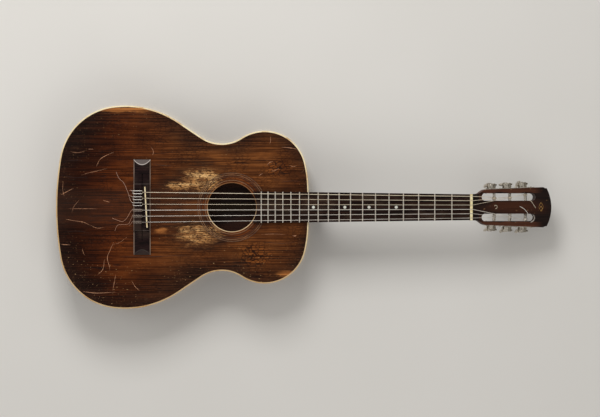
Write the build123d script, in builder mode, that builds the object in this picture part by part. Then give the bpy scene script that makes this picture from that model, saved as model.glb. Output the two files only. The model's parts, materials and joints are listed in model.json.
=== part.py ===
from build123d import *
import os
from math import atan2, cos, degrees, pi, radians, sin, sqrt, tan

# A twelve-fret, slotted-head acoustic guitar lying on its back, in millimetres.
# X runs along the neck towards the head, Y towards the bass side, Z out of the soundboard.
# The origin is on the flat outer face of the back, under the centre of the soundhole.

os.makedirs("parts", exist_ok=True)

# ---------------------------------------------------------------- driving dimensions

SCALE = 650.0  # string length, nut to uncompensated saddle
JOINT_X = 154.5  # 12th fret, where the neck meets the body
NUT_X = JOINT_X + SCALE / 2  # front face of the nut
BRIDGE_X = NUT_X - SCALE  # uncompensated saddle line

# Plan outline of the body, from the tail to the neck: (radius, turn in degrees), then the waist
TAIL_ARC = (600.0, 9.7)
LOWER_BOUT = (124.0, 73.4)
FLANK_ARC = (194.0, 40.9)
WAIST_RUN = 55.0  # straight stretch before the waist
WAIST_ARC = (73.0, 67.2)
UPPER_BOUT = (84.5, 110.2)
SHOULDER_R = 252.0
SHOULDER_TURN = 180 - (TAIL_ARC[1] + LOWER_BOUT[1] + FLANK_ARC[1] - WAIST_ARC[1] + UPPER_BOUT[1])

BODY_DEPTH = 100.0
PLATE = 2.8  # soundboard and back
RIB = 2.6  # bent sides, and the binding along their edges
BINDING_H = 6.0
LINING_T = 6.0
LINING_H = 14.0
HOLE_R = 49.0

BOARD_T = 6.5  # fingerboard
BOARD_NUT_W = 52.0
BOARD_JOINT_W = 61.0
BOARD_END_X = 43.0
BOARD_END_R = HOLE_R + 1.5
FRETS = 18
FRET_CROWN = 1.0
FRET_W = 2.2
FRET_TANG_W = 0.6
FRET_TANG_H = 1.9

NUT_T = 5.3
NUT_H = 9.0
HEAD_TILT = 14.0
HEAD_T = 20.0  # with its veneer
VENEER = 2.0
HEAD_NUT_HALF = 26.6
HEAD_START = (30.0, 35.8)  # end of the flare: along the head, half width
HEAD_END = (150.0, 40.7)
HEAD_TIP = 167.0
SLOT_START, SLOT_END = 20.8, 133.7
SLOT_Y, SLOT_W = 20.6, 14.9

POST_S = (48.0, 81.0, 114.0)  # string posts, along the head from the nut
POST_DEPTH = 10.0  # below the face of the head
POST_R = 3.0
POST_IN = 31.0  # length of a post inside the side of the head
SPIN_GAP = 0.08  # radial clearance of a running shaft

GEAR_TEETH = 14
MODULE = 0.8
GEAR_R = MODULE * GEAR_TEETH / 2  # pitch radius
WORM_R = 2.9  # pitch radius
CENTRES = GEAR_R + WORM_R
WORM_PITCH = pi * MODULE
WORM_LEAD = degrees(atan2(MODULE, 2 * WORM_R))
MACHINE_T = 1.2  # plate and ears of the tuning machines
AXLE_W = 8.4  # worm axis above the side of the head
GEAR_W = (6.8, 10.0)
WORM_HALF = 5.0
EAR_V = (5.3, 6.5)
PIN_R = 1.6  # worm shaft

TOP_Z = BODY_DEPTH
BOARD_Z = TOP_Z + BOARD_T
NUT_SLOT_Z = BOARD_Z + FRET_CROWN + 0.5
SADDLE_Z = TOP_Z + 12.6
TIE_HOLE_Z = TOP_Z + 3.6
TIE_H = 8.0
TIE_X = (BRIDGE_X - 27.5, BRIDGE_X - 11.0)  # tie block, back to front
BRIDGE_FRONT = BRIDGE_X + 6.7
STRING_NUT_GAP = 8.72
STRING_SADDLE_GAP = 12.0

# string number: (diameter, post index, distance from the centreline at the post)
STRINGS = {
    6: (1.10, 0, 20.0),
    5: (0.90, 1, 21.0),
    4: (0.76, 2, 26.3),
    3: (1.02, 2, 26.2),
    2: (0.82, 1, 21.0),
    1: (0.72, 0, 20.0),
}
# resting turn of each tuner's button, by string number
BUTTON_TURN = {6: 148.0, 5: 176.0, 4: 126.0, 3: 38.0, 2: 52.0, 1: 30.0}


def save(piece, label):
    """Writes one finished piece as its own node."""
    piece.part.label = label
    export_step(piece.part, f"parts/{label}.step")


# ---------------------------------------------------------------- body outline


def half_outline(tail_x, inset):
    """Draws one side of the body's outline, inset mm inside the outer edge; returns its neck end."""
    tail = JernArc((tail_x + inset, 0), (0, 1), TAIL_ARC[0] - inset, -TAIL_ARC[1])
    lower = JernArc(tail @ 1, tail % 1, LOWER_BOUT[0] - inset, -LOWER_BOUT[1])
    flank = JernArc(lower @ 1, lower % 1, FLANK_ARC[0] - inset, -FLANK_ARC[1])
    run = Line(flank @ 1, flank @ 1 + (flank % 1) * WAIST_RUN)
    waist = JernArc(run @ 1, run % 1, WAIST_ARC[0] + inset, WAIST_ARC[1])
    upper = JernArc(waist @ 1, waist % 1, UPPER_BOUT[0] - inset, -UPPER_BOUT[1])
    shoulder = JernArc(upper @ 1, upper % 1, SHOULDER_R - inset, -SHOULDER_TURN)
    Line(shoulder @ 1, ((shoulder @ 1).X, 0))
    return shoulder @ 1


with BuildLine() as trial:
    TAIL_X = JOINT_X - half_outline(0, 0).X


def body_face(inset):
    """The area inside the body's outline, inset mm from its outer edge."""
    with BuildSketch() as plan:
        with BuildLine():
            half_outline(TAIL_X, inset)
            mirror(about=Plane.XZ)
        make_face()
    return plan.sketch


RIM_OUT = body_face(0)
RIM_IN = body_face(RIB)
LINING_IN = body_face(RIB + LINING_T)

# dovetail that joins the neck to its block, in plan
DOVETAIL = [(JOINT_X + 1, -11), (JOINT_X + 1, 11), (JOINT_X - 18, 15), (JOINT_X - 18, -15)]
TENON_Z = 22.0
NECK_BLOCK = (JOINT_X - RIB - 55, 84.0)  # rear face, width
TAIL_BLOCK = (TAIL_X + RIB + 18, 70.0)  # front face, width
GRAFT_W = 16.0


def cut_tenon(low, high):
    """Cuts the dovetail's socket out of the piece being built."""
    with BuildSketch(Plane.XY.offset(low)) as plan:
        with BuildLine():
            Polyline(*DOVETAIL, close=True)
        make_face()
    extrude(plan.sketch, amount=high - low, mode=Mode.SUBTRACT)


def rim(outer, inner, low, high):
    """Extrudes the band between two insets of the outline."""
    with BuildSketch(Plane.XY.offset(low)) as band:
        add(outer)
        add(inner, mode=Mode.SUBTRACT)
    extrude(band.sketch, amount=high - low)


# ---------------------------------------------------------------- soundboard, back and sides

ROSETTE = [(53.6, 55.2), (61.0, 62.0), (64.2, 65.8), (68.2, 69.8)]
ROSETTE_DEPTH = 1.2

with BuildPart() as soundboard:
    with BuildSketch(Plane.XY.offset(TOP_Z - PLATE)):
        add(RIM_IN)
        Circle(HOLE_R, mode=Mode.SUBTRACT)
    extrude(amount=PLATE)
    for inner, outer in ROSETTE:
        with BuildSketch(Plane.XY.offset(TOP_Z - ROSETTE_DEPTH)):
            Circle(outer)
            Circle(inner, mode=Mode.SUBTRACT)
        extrude(amount=ROSETTE_DEPTH, mode=Mode.SUBTRACT)
    cut_tenon(TENON_Z, TOP_Z + 1)
    split(bisect_by=Plane.XZ, keep=Keep.BOTH)
save(soundboard, "soundboard")

with BuildPart() as rosette:
    for inner, outer in ROSETTE:
        with BuildSketch(Plane.XY.offset(TOP_Z - ROSETTE_DEPTH)):
            Circle(outer)
            Circle(inner, mode=Mode.SUBTRACT)
        extrude(amount=ROSETTE_DEPTH)
save(rosette, "rosette")

with BuildPart() as back_plate:
    with BuildSketch():
        add(RIM_IN)
    extrude(amount=PLATE)
    split(bisect_by=Plane.XZ, keep=Keep.BOTH)
save(back_plate, "back_plate")

with BuildPart() as side_bass:
    rim(RIM_OUT, RIM_IN, BINDING_H, BODY_DEPTH - BINDING_H)
    cut_tenon(TENON_Z, TOP_Z)
    with Locations((TAIL_X, 0, BODY_DEPTH / 2)):
        Box(20, GRAFT_W, BODY_DEPTH, mode=Mode.SUBTRACT)
    split(bisect_by=Plane.XZ, keep=Keep.BOTTOM)
save(side_bass, "side_bass")

with BuildPart() as side_treble:
    mirror(side_bass.part, about=Plane.XZ)
save(side_treble, "side_treble")

with BuildPart() as tail_graft:
    rim(RIM_OUT, RIM_IN, BINDING_H, BODY_DEPTH - BINDING_H)
    with Locations((TAIL_X, 0, BODY_DEPTH / 2)):
        Box(20, GRAFT_W, BODY_DEPTH, mode=Mode.INTERSECT)
save(tail_graft, "tail_graft")

BINDING_ROUND = 0.9

with BuildPart() as top_binding:
    rim(RIM_OUT, RIM_IN, BODY_DEPTH - BINDING_H, BODY_DEPTH)
    rounded = top_binding.faces().sort_by(Axis.Z)[-1].outer_wire().edges()
    fillet(rounded, BINDING_ROUND)
    cut_tenon(TENON_Z, TOP_Z + 1)
    split(bisect_by=Plane.XZ, keep=Keep.BOTH)
save(top_binding, "top_binding")

with BuildPart() as back_binding:
    rim(RIM_OUT, RIM_IN, 0, BINDING_H)
    rounded = back_binding.faces().sort_by(Axis.Z)[0].outer_wire().edges()
    fillet(rounded, BINDING_ROUND)
    split(bisect_by=Plane.XZ, keep=Keep.BOTH)
save(back_binding, "back_binding")

# ---------------------------------------------------------------- blocks, linings and braces

with BuildPart() as neck_block:
    with BuildSketch(Plane.XY.offset(PLATE)):
        add(RIM_IN)
        with Locations((NECK_BLOCK[0] + 50, 0)):
            Rectangle(100, NECK_BLOCK[1], mode=Mode.INTERSECT)
    extrude(amount=BODY_DEPTH - 2 * PLATE)
    cut_tenon(TENON_Z, TOP_Z)
save(neck_block, "neck_block")

with BuildPart() as tail_block:
    with BuildSketch(Plane.XY.offset(PLATE)):
        add(RIM_IN)
        with Locations((TAIL_BLOCK[0] - 50, 0)):
            Rectangle(100, TAIL_BLOCK[1], mode=Mode.INTERSECT)
    extrude(amount=BODY_DEPTH - 2 * PLATE)
save(tail_block, "tail_block")

with BuildPart() as linings:
    rim(RIM_IN, LINING_IN, PLATE, PLATE + LINING_H)
    rim(RIM_IN, LINING_IN, TOP_Z - PLATE - LINING_H, TOP_Z - PLATE)
    with Locations((NECK_BLOCK[0] + 50, 0, BODY_DEPTH / 2)):
        Box(100, NECK_BLOCK[1], BODY_DEPTH, mode=Mode.SUBTRACT)
    with Locations((TAIL_BLOCK[0] - 50, 0, BODY_DEPTH / 2)):
        Box(100, TAIL_BLOCK[1], BODY_DEPTH, mode=Mode.SUBTRACT)
save(linings, "linings")

BAR_W = 8.0
BAR_H = 12.0
BAR_X = (-68.0, 72.0)  # harmonic bars each side of the soundhole
FAN_H = 6.0
FAN_W = 7.0
FAN_X = (-322.0, -78.0)
FAN_SPREAD = (46.0, 23.0)  # spacing of the fan at its rear and front ends
BACK_BAR_H = 15.0
BACK_BAR_X = (-262.0, -160.0, -50.0, 60.0)
STRIP_W = 20.0
STRIP_H = 2.5


def cross_bar(x, low, high):
    """A brace that runs from lining to lining at x."""
    with BuildSketch(Plane.XY.offset(low)) as bar:
        add(LINING_IN)
        with Locations((x, 0)):
            Rectangle(BAR_W, 500, mode=Mode.INTERSECT)
    extrude(bar.sketch, amount=high - low)


with BuildPart() as top_braces:
    for x in BAR_X:
        cross_bar(x, TOP_Z - PLATE - BAR_H, TOP_Z - PLATE)
    for k in range(-2, 3):
        rear = Vector(FAN_X[0], k * FAN_SPREAD[0])
        front = Vector(FAN_X[1], k * FAN_SPREAD[1])
        turn = degrees(atan2(front.Y - rear.Y, front.X - rear.X))
        middle = (rear + front) * 0.5
        with Locations(Location((middle.X, middle.Y, TOP_Z - PLATE - FAN_H / 2), (0, 0, turn))):
            Box((front - rear).length, FAN_W, FAN_H)
save(top_braces, "top_braces")

with BuildPart() as soundhole_patch:
    with BuildSketch(Plane.XY.offset(TOP_Z - PLATE - 2)):
        Rectangle(124, 150)
        Circle(HOLE_R + 2, mode=Mode.SUBTRACT)
    extrude(amount=2)
save(soundhole_patch, "soundhole_patch")

with BuildPart() as back_braces:
    for x in BACK_BAR_X:
        cross_bar(x, PLATE, PLATE + BACK_BAR_H)
save(back_braces, "back_braces")

with BuildPart() as back_strip:
    strip_length = NECK_BLOCK[0] - TAIL_BLOCK[0]
    with Locations(((NECK_BLOCK[0] + TAIL_BLOCK[0]) / 2, 0, PLATE + STRIP_H / 2)):
        Box(strip_length, STRIP_W, STRIP_H)
    for x in BACK_BAR_X:
        with Locations((x, 0, PLATE)):
            Box(BAR_W, STRIP_W + 2, 3 * STRIP_H, mode=Mode.SUBTRACT)
save(back_strip, "back_strip")

# ---------------------------------------------------------------- bridge and saddle

BRIDGE_L = 192.0
BRIDGE_MID_L = 94.0
WING_EDGE = 2.4
WING_CROWN = 5.2
WING_BEVEL = 10.0
TRENCH_Z = TOP_Z + 2.2
RIDGE_Z = TOP_Z + 6.6
SADDLE_T = 2.6
SADDLE_L = 84.0
COMPENSATION = (3.8, 0.5)  # extra string length at strings 6 and 1
SADDLE_X = BRIDGE_X - sum(COMPENSATION) / 2
SADDLE_SLANT = degrees(atan2(COMPENSATION[0] - COMPENSATION[1], 5 * STRING_SADDLE_GAP))
SADDLE_FOOT = TOP_Z + 2.8
SIDE_VIEW = Plane(origin=(0, 0, TOP_Z), x_dir=(1, 0, 0), z_dir=(0, -1, 0))


def string_y(number, gap):
    """Distance of a string from the centreline, from the spacing of the strings."""
    return (number - 3.5) * gap


with BuildPart() as saddle:
    with Locations(Location((SADDLE_X, 0, (SADDLE_FOOT + SADDLE_Z) / 2), (0, 0, SADDLE_SLANT))):
        Box(SADDLE_T, SADDLE_L, SADDLE_Z - SADDLE_FOOT)
    crown = saddle.faces().sort_by(Axis.Z)[-1].edges()
    fillet(crown, SADDLE_T * 0.46)
save(saddle, "saddle")

with BuildPart() as bridge:
    rear, front = TIE_X[0], BRIDGE_FRONT
    with BuildSketch(SIDE_VIEW):
        with BuildLine():
            foot = Polyline((rear, WING_EDGE), (rear, 0), (front, 0), (front, WING_EDGE))
            ThreePointArc(foot @ 1, ((rear + front) / 2, WING_CROWN), foot @ 0)
        make_face()
    extrude(amount=BRIDGE_L / 2, both=True)
    for end in (-1, 1):
        with BuildSketch(Plane.YZ.offset(rear - 1)):
            with BuildLine():
                tip = end * BRIDGE_L / 2
                Polyline(
                    (tip, TOP_Z + 1.4),
                    (tip - end * WING_BEVEL, TOP_Z + WING_CROWN),
                    (tip - end * WING_BEVEL, TOP_Z + 2 * WING_CROWN),
                    (tip + end, TOP_Z + 2 * WING_CROWN),
                    (tip + end, TOP_Z + 1.4),
                    close=True,
                )
            make_face()
        extrude(amount=front - rear + 2, mode=Mode.SUBTRACT)
    with BuildSketch(SIDE_VIEW):
        with BuildLine():
            Polyline(
                (rear, 0),
                (rear, TIE_H),
                (TIE_X[1], TIE_H),
                (TIE_X[1], TRENCH_Z - TOP_Z),
                (TIE_X[1] + 2.6, TRENCH_Z - TOP_Z),
                (TIE_X[1] + 4.7, RIDGE_Z - TOP_Z),
                (front - 4.0, RIDGE_Z - TOP_Z),
                (front, WING_EDGE),
                (front, 0),
                close=True,
            )
        make_face()
    extrude(amount=BRIDGE_MID_L / 2, both=True)
    # soften the shoulders of the tie block and of the saddle ridge
    with Locations(((TIE_X[1] + 1.3), 0, TRENCH_Z + 10)):
        Box(2.6, BRIDGE_MID_L + 40, 20, mode=Mode.SUBTRACT)
    tie_top = bridge.faces().filter_by(Axis.Z).sort_by(Axis.Z)[-1]
    fillet(tie_top.edges(), 1.1)
    with Locations(Location((SADDLE_X, 0, SADDLE_FOOT + 10), (0, 0, SADDLE_SLANT))):
        Box(SADDLE_T, SADDLE_L, 20, mode=Mode.SUBTRACT)
    for number in STRINGS:
        hole = Plane(
            origin=(rear - 1, string_y(number, STRING_SADDLE_GAP), TIE_HOLE_Z),
            z_dir=(1, 0, 0),
        )
        with BuildSketch(hole):
            Circle(0.9)
        extrude(amount=TIE_X[1] - rear + 1.5, mode=Mode.SUBTRACT)
save(bridge, "bridge")

# ---------------------------------------------------------------- fingerboard, frets and nut


def fret_x(number):
    """Equal-tempered place of a fret."""
    return NUT_X - SCALE * (1 - 2 ** (-number / 12))


def board_half(x):
    """Half the fingerboard's width at x."""
    share = (NUT_X - x) / (NUT_X - JOINT_X)
    return (BOARD_NUT_W + (BOARD_JOINT_W - BOARD_NUT_W) * share) / 2


DOT_FRETS = (5, 7, 9, 12)
DOT_R = 3.0
DOT_T = 1.5
DOTS = [((fret_x(n) + fret_x(n - 1)) / 2, 0, BOARD_Z - DOT_T / 2) for n in DOT_FRETS]

with BuildPart() as fingerboard:
    with BuildSketch(Plane.XY.offset(TOP_Z)):
        with BuildLine():
            Polyline(
                (BOARD_END_X, board_half(BOARD_END_X)),
                (NUT_X, BOARD_NUT_W / 2),
                (NUT_X, -BOARD_NUT_W / 2),
                (BOARD_END_X, -board_half(BOARD_END_X)),
                close=True,
            )
        make_face()
        Circle(BOARD_END_R, mode=Mode.SUBTRACT)
    extrude(amount=BOARD_T)
    for number in range(1, FRETS + 1):
        with Locations((fret_x(number), 0, BOARD_Z)):
            Box(FRET_TANG_W, 80, 2 * FRET_TANG_H, mode=Mode.SUBTRACT)
    with Locations(*DOTS):
        Cylinder(DOT_R, DOT_T, mode=Mode.SUBTRACT)
save(fingerboard, "fingerboard")

with BuildPart() as frets:
    for number in range(1, FRETS + 1):
        middle = Plane(origin=(fret_x(number), 0, BOARD_Z), x_dir=(1, 0, 0), z_dir=(0, -1, 0))
        with BuildSketch(middle):
            with BuildLine():
                bead = ThreePointArc((-FRET_W / 2, 0), (0, FRET_CROWN), (FRET_W / 2, 0))
                half = FRET_TANG_W / 2
                tang = [(half, 0), (half, -FRET_TANG_H), (-half, -FRET_TANG_H), (-half, 0)]
                Polyline(bead @ 1, *tang, bead @ 0)
            make_face()
        extrude(amount=board_half(fret_x(number)) - 0.2, both=True)
save(frets, "frets")

with BuildPart() as position_dots:
    with Locations(*DOTS):
        Cylinder(DOT_R, DOT_T)
save(position_dots, "position_dots")

with BuildPart() as nut:
    with Locations((NUT_X + NUT_T / 2, 0, TOP_Z + NUT_H / 2)):
        Box(NUT_T, BOARD_NUT_W + 0.6, NUT_H)
    fillet(nut.faces().sort_by(Axis.Z)[-1].edges(), 0.7)
    for number, (diameter, post, reach) in STRINGS.items():
        with Locations((NUT_X + NUT_T / 2, string_y(number, STRING_NUT_GAP), NUT_SLOT_Z + 5)):
            Box(NUT_T + 2, diameter + 0.16, 10, mode=Mode.SUBTRACT)
save(nut, "nut")

# ---------------------------------------------------------------- neck and head

NECK_DEPTH = (15.5, 19.0)  # wood under the fingerboard, at the nut and at the joint
HEAD_X = NUT_X + NUT_T
HEAD_FACE_Z = TOP_Z + 2.8
HEAD = Plane(
    origin=(HEAD_X, 0, HEAD_FACE_Z),
    x_dir=(cos(radians(HEAD_TILT)), 0, -sin(radians(HEAD_TILT))),
    z_dir=(sin(radians(HEAD_TILT)), 0, cos(radians(HEAD_TILT))),
)
SCARF = HEAD.offset(-HEAD_T)
HEEL_CAP_T = 3.0
# heel sections: height, length along the neck, half width
HEEL = [
    (TOP_Z - 7, 92, 27.0),
    (TOP_Z - 18, 66, 25.5),
    (TOP_Z - 27, 44, 24.0),
    (TOP_Z - 42, 30, 21.0),
    (TOP_Z - 66, 24, 17.0),
    (HEEL_CAP_T, 20, 13.5),
]
SHOULDER_X = HEAD_X + 30  # the shaft's section runs on to here inside the head


def shaft_section(x):
    """The round-backed section of the neck at x."""
    half = board_half(x)
    depth = NECK_DEPTH[0] + (NECK_DEPTH[1] - NECK_DEPTH[0]) * (NUT_X - x) / (NUT_X - JOINT_X)
    with BuildSketch(Plane(origin=(x, 0, TOP_Z), x_dir=(0, 1, 0), z_dir=(1, 0, 0))) as section:
        with BuildLine():
            Line((-half, 0), (half, 0))
            EllipticalCenterArc((0, 0), half, depth, start_angle=180, arc_size=180)
        make_face()
    return section.sketch


def heel_section(height, length, half):
    """A half-oval slice of the heel against the body."""
    with BuildSketch(Plane.XY.offset(height)) as section:
        with BuildLine():
            Line((JOINT_X, half), (JOINT_X, -half))
            EllipticalCenterArc((JOINT_X, 0), length, half, start_angle=270, arc_size=180)
        make_face()
    return section.sketch


with BuildPart() as neck_blank:
    loft([shaft_section(JOINT_X), shaft_section(SHOULDER_X)])
    loft([heel_section(*row) for row in HEEL])
    with BuildSketch(Plane.XY.offset(TENON_Z)):
        with BuildLine():
            Polyline(*DOVETAIL, close=True)
        make_face()
    extrude(amount=TOP_Z - TENON_Z)
    split(bisect_by=HEAD.offset(-VENEER), keep=Keep.BOTTOM)

with BuildPart() as neck:
    add(neck_blank.part)
    split(bisect_by=SCARF, keep=Keep.BOTTOM)
save(neck, "neck")

with BuildPart() as heel_cap:
    with BuildSketch():
        add(heel_section(0, HEEL[-1][1], HEEL[-1][2]))
    extrude(amount=HEEL_CAP_T)
save(heel_cap, "heel_cap")

SIDE_SLOPE = (HEAD_END[1] - HEAD_START[1]) / (HEAD_END[0] - HEAD_START[0])
SIDE_TURN = degrees(atan2(SIDE_SLOPE, 1))
CROWN_EDGE = (157.0, 38.6)


def head_outline(plane):
    """The head's outline on a plane parallel to its face."""
    with BuildSketch(plane) as face:
        with BuildLine():
            start = Line((0, 0), (0, HEAD_NUT_HALF))
            lead = Line(start @ 1, (7, HEAD_NUT_HALF))
            flare = Spline(lead @ 1, HEAD_START, tangents=[(1, 0), (1, SIDE_SLOPE)])
            side = Line(flare @ 1, HEAD_END)
            nick = RadiusArc(side @ 1, CROWN_EDGE, -9)
            ThreePointArc(nick @ 1, (HEAD_TIP - 2.3, 19), (HEAD_TIP, 0))
            mirror(about=Plane.XZ)
        make_face()
    return face.sketch


def cut_slots(plane, depth):
    """Cuts the two string slots, and the ramps that lead into them, down through a layer of the head."""
    centre = (SLOT_START + SLOT_END) / 2
    with BuildSketch(plane) as slots:
        with Locations((centre, SLOT_Y), (centre, -SLOT_Y)):
            SlotOverall(SLOT_END - SLOT_START, SLOT_W)
    extrude(slots.sketch, amount=-depth, mode=Mode.SUBTRACT)
    side_view = Plane(origin=HEAD.origin, x_dir=HEAD.x_dir, z_dir=(0, -1, 0))
    for middle in (-SLOT_Y, SLOT_Y):
        with BuildSketch(side_view.offset(-middle)) as ramp:
            with BuildLine():
                Polyline((9, 1), (9, 0), (29, -8), (29, 1), close=True)
            make_face()
        extrude(ramp.sketch, amount=SLOT_W / 2, both=True, mode=Mode.SUBTRACT)


def cut_nut_seat():
    """Squares the root of the head off behind the nut."""
    with Locations((HEAD_X - 20, 0, TOP_Z + 10)):
        Box(40, 90, 20, mode=Mode.SUBTRACT)


def flare_section(x, half, depth):
    """A round-bottomed section that the root of the head is carved to."""
    with BuildSketch(Plane(origin=(x, 0, TOP_Z), x_dir=(0, 1, 0), z_dir=(1, 0, 0))) as section:
        with BuildLine():
            Polyline((-half, 0), (-half, 10), (half, 10), (half, 0))
            EllipticalCenterArc((0, 0), half, depth, start_angle=180, arc_size=180)
        make_face()
    return section.sketch


def side_plane(post):
    """Plane on the bass side of the head at a post: X towards the tip, Y to the rear, Z outwards."""
    along = POST_S[post]
    half = HEAD_START[1] + (along - HEAD_START[0]) * SIDE_SLOPE
    origin = HEAD.from_local_coords(Vector(along, half, -POST_DEPTH))
    outward = HEAD.x_dir * -sin(radians(SIDE_TURN)) + HEAD.y_dir * cos(radians(SIDE_TURN))
    forward = HEAD.x_dir * cos(radians(SIDE_TURN)) + HEAD.y_dir * sin(radians(SIDE_TURN))
    return Plane(origin=origin, x_dir=forward, z_dir=outward)


SCREW_U = (-49.8, -20.0, 13.0, 45.5)  # plate screws, along the side from the middle post
SCREW_R = 1.1
SCREW_L = 11.0

with BuildPart() as carved_root:
    with Locations((HEAD_X + 17.5, 0, TOP_Z - 10)):
        Box(34.98, 90, 60)
    near = flare_section(HEAD_X - 0.1, board_half(HEAD_X) + 0.55, NECK_DEPTH[0] + 0.1)
    far = flare_section(HEAD_X + 35.1, 62, 60)
    loft([near, far], mode=Mode.SUBTRACT)

with BuildPart() as side_bores:
    for post in range(3):
        with BuildSketch(side_plane(post).offset(1)):
            Circle(POST_R + 0.3)
        extrude(amount=-(POST_IN + 2.5))
    with BuildSketch(side_plane(1)):
        with Locations(*[(u, 0) for u in SCREW_U]):
            Circle(SCREW_R)
    extrude(amount=-SCREW_L)
    mirror(about=Plane.XZ)

with BuildPart() as wedge:
    add(neck_blank.part)
    split(bisect_by=SCARF, keep=Keep.TOP)

with BuildPart() as headstock:
    with BuildSketch(SCARF):
        add(head_outline(Plane.XY))
    extrude(amount=HEAD_T - VENEER)
    add(carved_root.part, mode=Mode.SUBTRACT)
    add(wedge.part)
    cut_slots(HEAD, 2 * HEAD_T)
    cut_nut_seat()
    add(side_bores.part, mode=Mode.SUBTRACT)
save(headstock, "headstock")

with BuildPart() as head_veneer:
    with BuildSketch(HEAD.offset(-VENEER)):
        add(head_outline(Plane.XY))
    extrude(amount=VENEER)
    cut_slots(HEAD, 2 * HEAD_T)
    cut_nut_seat()
save(head_veneer, "head_veneer")

# ---------------------------------------------------------------- tuning machines

PLATE_U = (-53.4, 52.0)
PLATE_W = 13.0
EAR_R = 4.3
HUB_W = MACHINE_T + 0.3
HUB_R = 3.9
STUB_R = 2.0
GEAR_TIP = GEAR_R + 0.6
GEAR_ROOT = GEAR_R - 1.1
GAP_HALF = (0.64, 0.98)  # half width of a tooth gap at its root and at the rim
WORM_TIP = WORM_R + 0.7
WORM_ROOT = WORM_R - 0.9
THREAD_HALF = (0.72, 0.30)  # half thickness of the thread at its root and crest
WORM_TURNS = 3
SHAFT_V = (-7.8, 15.0)
BUTTON_V = (9.0, 27.5)
BUTTON_SIZE = (15.5, 6.4)
POST_PITCH = (POST_S[1] - POST_S[0]) / cos(radians(SIDE_TURN))

with BuildPart() as plate_shape:
    with BuildSketch():
        with Locations(((PLATE_U[0] + PLATE_U[1]) / 2, 0)):
            RectangleRounded(PLATE_U[1] - PLATE_U[0], PLATE_W, 3.0)
        with Locations(*[(k * POST_PITCH, 0) for k in (-1, 0, 1)]):
            Circle(POST_R + SPIN_GAP, mode=Mode.SUBTRACT)
        with Locations(*[(u, 0) for u in SCREW_U]):
            Circle(SCREW_R, mode=Mode.SUBTRACT)
    extrude(amount=MACHINE_T)
    for k in (-1, 0, 1):
        for inner in (-EAR_V[1], EAR_V[0]):
            ear = Plane(
                origin=(k * POST_PITCH - CENTRES, inner + MACHINE_T, AXLE_W),
                x_dir=(1, 0, 0),
                z_dir=(0, -1, 0),
            )
            with BuildSketch(ear):
                Circle(EAR_R)
                with Locations((0, -AXLE_W / 2 + 0.3)):
                    Rectangle(2 * EAR_R, AXLE_W - 0.6)
                Circle(PIN_R + SPIN_GAP, mode=Mode.SUBTRACT)
            extrude(amount=MACHINE_T)

with BuildPart() as screw_shape:
    with BuildSketch(Plane.XZ):
        with BuildLine():
            Polyline((0, 2.4), (0, -SCREW_L + 1.4), (SCREW_R, -SCREW_L + 3.4), (SCREW_R, MACHINE_T))
            Polyline((SCREW_R, MACHINE_T), (2.3, MACHINE_T))
            ThreePointArc((2.3, MACHINE_T), (1.4, 2.2), (0, 2.4))
        make_face()
    revolve(axis=Axis.Z)
    with Locations((0, 0, 2.5)):
        Box(6, 0.6, 1.2, mode=Mode.SUBTRACT)

with BuildPart() as gear_shape:
    with BuildSketch(Plane.XY.offset(GEAR_W[0])):
        Circle(GEAR_TIP)
    extrude(amount=GEAR_W[1] - GEAR_W[0])
    with BuildSketch(Plane.XY.offset(HUB_W)):
        Circle(HUB_R)
    extrude(amount=GEAR_W[0] - HUB_W)
    for k in range(GEAR_TEETH):
        turn = radians(360 * k / GEAR_TEETH)
        radial = Vector(cos(turn), sin(turn), 0)
        tangent = Vector(-sin(turn), cos(turn), 0)
        slope = tangent * sin(radians(WORM_LEAD)) + Vector(0, 0, cos(radians(WORM_LEAD)))
        with BuildSketch(Plane(origin=(0, 0, AXLE_W), x_dir=radial, z_dir=slope)):
            with BuildLine():
                Polyline(
                    (GEAR_ROOT, -GAP_HALF[0]),
                    (GEAR_TIP + 0.4, -GAP_HALF[1]),
                    (GEAR_TIP + 0.4, GAP_HALF[1]),
                    (GEAR_ROOT, GAP_HALF[0]),
                    close=True,
                )
            make_face()
        extrude(amount=2.5, both=True, mode=Mode.SUBTRACT)
    with BuildSketch():
        Circle(STUB_R)
    extrude(amount=20, mode=Mode.SUBTRACT)

with BuildPart() as cap_shape:
    with BuildSketch(Plane.XY.offset(GEAR_W[1])):
        Circle(3.2)
    extrude(amount=1.4)
    fillet(cap_shape.faces().sort_by(Axis.Z)[-1].edges(), 0.7)
    with Locations((0, 0, GEAR_W[1] + 1.4)):
        Box(8, 0.8, 1.4, mode=Mode.SUBTRACT)

with BuildPart() as post_shape:
    with BuildSketch(Plane.XY.offset(-POST_IN)):
        Circle(POST_R)
    extrude(amount=POST_IN + HUB_W)
    with BuildSketch(Plane.XY.offset(HUB_W)):
        Circle(STUB_R)
    extrude(amount=GEAR_W[1] - HUB_W)
    chamfer(post_shape.faces().sort_by(Axis.Z)[0].edges(), 0.5)

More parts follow.
